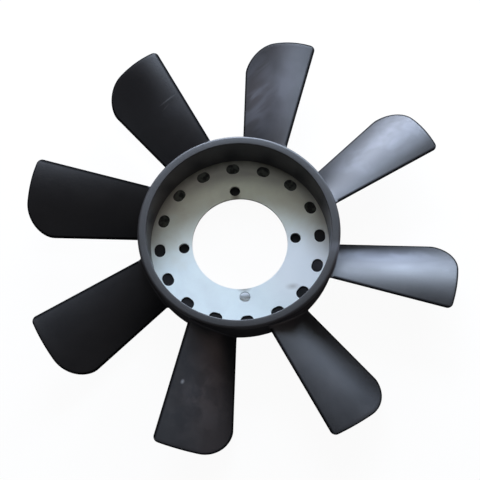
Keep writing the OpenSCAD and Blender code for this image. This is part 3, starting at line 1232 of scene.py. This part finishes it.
# %% The floor
FLOOR_Z = BACK_Z - 0.02 * MM
FLOOR_HALF = 6
DARK_FROM_R = BORE_R + 1.3 * MM
DARK_FROM_Y = -48 * MM
DARK_FADE = 0.4 * MM
DARK_SOFT_END = 4 * MM
DARKENED = 0.96
GREY_TO_LIGHT = 0.35
PALER_TO_CAMERA = 0.6
GLOW = 0.95


def finish_floor(material):
    graph = Finish(material)
    past_bore = graph.above(graph.radius, DARK_FROM_R, DARK_FADE)
    covered = past_bore * graph.below(graph.radius, FLANGE_R, DARK_FADE)
    # Painted shade: a dark band on the floor under the hub, stopping short of the lowest bolt hole.
    dark = covered * graph.above(graph.y, DARK_FROM_Y, DARK_SOFT_END)
    seen = seen_white(graph)
    paleness = (1 - DARKENED * dark) * (GREY_TO_LIGHT + PALER_TO_CAMERA * seen)
    dark_matt = graph.add("ShaderNodeBsdfDiffuse", None, {"Color": DARK})
    pale_matt = graph.add("ShaderNodeBsdfDiffuse", None, {"Color": WHITE})
    matt = graph.add("ShaderNodeMixShader", None, {0: paleness, 1: dark_matt, 2: pale_matt})
    glow = graph.add("ShaderNodeEmission", None, {"Color": WHITE, "Strength": 1.0})
    glow_share = (1 - covered) * seen * GLOW
    mixed = graph.add("ShaderNodeMixShader", None, {0: glow_share, 1: matt, 2: glow})
    graph.add("ShaderNodeOutputMaterial", None, {0: mixed})


def make_floor():
    mesh = bpy.data.meshes.new("floor")
    sides = ((-1, -1), (1, -1), (1, 1), (-1, 1))
    corners = [(x * FLOOR_HALF, y * FLOOR_HALF, FLOOR_Z) for x, y in sides]
    mesh.from_pydata(corners, [], [(0, 1, 2, 3)])
    floor = bpy.data.objects.new("floor", mesh)
    bpy.context.scene.collection.objects.link(floor)
    material = bpy.data.materials.new("white_floor")
    mesh.materials.append(material)
    finish_floor(material)
    floor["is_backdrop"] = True


make_floor()
print("floor height in mm:", round(FLOOR_Z / MM, 2))

# %% The world
ROOM_COLOUR = (0.91, 0.9, 1, 1)
ROOM_STRENGTH = 0.17


def make_world():
    world = bpy.data.worlds.new("studio")
    bpy.context.scene.world = world
    world.use_nodes = True
    world.node_tree.nodes.clear()
    graph = Graph(world.node_tree)
    room = graph.add("ShaderNodeBackground", None, {0: ROOM_COLOUR, 1: ROOM_STRENGTH})
    backdrop = graph.add("ShaderNodeBackground", None, {0: WHITE, 1: 1.0})
    mixed = graph.add("ShaderNodeMixShader", None, {0: seen_white(graph), 1: room, 2: backdrop})
    graph.add("ShaderNodeOutputWorld", None, {0: mixed})


make_world()
scene = bpy.context.scene
scene.view_settings.view_transform = "Standard"
print("view transform:", scene.view_settings.view_transform)

# %% [markdown]
# ## Light
#
# A window stands low behind the fan's upper side. It rakes over the rim, so the drum's far wall
# throws its shade across the upper half of the ring, while the lower half and the blades that lean
# that way shine. One lamp can't do that for eight blades that each face another way, so four lamps
# of the same size stand for parts of the window, and three weak ones for the ceiling and two
# walls.
#
# Light adds up. So the lamps' strengths were not found by trying: pictures with one lamp at a time
# were rendered, and the sum of them that came nearest to the real fan was solved for.

# %% Lamps
LAMP_DISTANCE = 1.6
LAMP_WIDTH = 0.8
LAMP_HEIGHT = 0.4
BLUISH = (0.74, 0.82, 1.0)
DEEP_BLUISH = (0.62, 0.76, 1.0)
NEUTRAL = (0.92, 1.0, 0.97)
WARM = (1.0, 0.72, 0.68)


def soft_lamp(name, azimuth, elevation, watts, colour):
    """An area lamp that looks at the fan from a direction, given in degrees."""
    data = bpy.data.lights.new(name, "AREA")
    data.shape = "RECTANGLE"
    data.size = LAMP_WIDTH
    data.size_y = LAMP_HEIGHT
    data.energy = watts
    data.color = colour
    level = direction(math.radians(azimuth)) * math.cos(math.radians(elevation))
    towards = Vector((level.x, level.y, math.sin(math.radians(elevation))))
    lamp = bpy.data.objects.new(name, data)
    turn = towards.to_track_quat("Z", "Y").to_matrix().to_4x4()
    lamp.matrix_world = Matrix.Translation(towards * LAMP_DISTANCE) @ turn
    bpy.context.scene.collection.objects.link(lamp)


soft_lamp("window_low", azimuth=90, elevation=10, watts=41, colour=BLUISH)
soft_lamp("window_side", azimuth=60, elevation=17, watts=27, colour=DEEP_BLUISH)
soft_lamp("window_high", azimuth=90, elevation=35, watts=22.3, colour=DEEP_BLUISH)
soft_lamp("window_corner", azimuth=60, elevation=25, watts=4.9, colour=NEUTRAL)
soft_lamp("ceiling", azimuth=90, elevation=60, watts=2.4, colour=NEUTRAL)
soft_lamp("far_wall", azimuth=120, elevation=35, watts=1.5, colour=WARM)
soft_lamp("near_wall", azimuth=0, elevation=25, watts=1.7, colour=WARM)
print("lamps:", len(bpy.data.lights))

# %% [markdown]
# ## Camera
#
# The camera looks down on the fan's open side from 0.99 m, tilted back by under 19 degrees. It is
# built as a chain of plain moves: turn round the fan's axis, tilt, roll, and step back.

# %% The camera
CAMERA_TURN = math.radians(-0.59)
CAMERA_TILT = math.radians(18.52)
CAMERA_ROLL = math.radians(-4.83)
CAMERA_STEP = Vector((0.14 * MM, 3.03 * MM, 993.6 * MM))
LENS_MM = 75.73

camera_data = bpy.data.cameras.new("camera")
camera_data.sensor_width = 36
camera_data.lens = LENS_MM
camera = bpy.data.objects.new("camera", camera_data)
turned = Matrix.Rotation(CAMERA_TURN, 4, "Z") @ Matrix.Rotation(CAMERA_TILT, 4, "X")
rolled = turned @ Matrix.Rotation(CAMERA_ROLL, 4, "Z")
camera.matrix_world = rolled @ Matrix.Translation(CAMERA_STEP)
scene.collection.objects.link(camera)
scene.camera = camera
print("camera at mm:", [round(v / MM) for v in camera.matrix_world.translation])

# %% [markdown]
# ## Measure and finish
#
# Dressing must not change the fan's size, so the boxes before and after are gathered side by side, and
# the dressed size is printed.

bpy.context.view_layer.update()
boxes = {"cad": [list(v) for v in cad_box], "visual": [list(v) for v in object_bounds()]}
print("size in mm:", [round((b - a) / MM, 1) for a, b in zip(*boxes["visual"])])
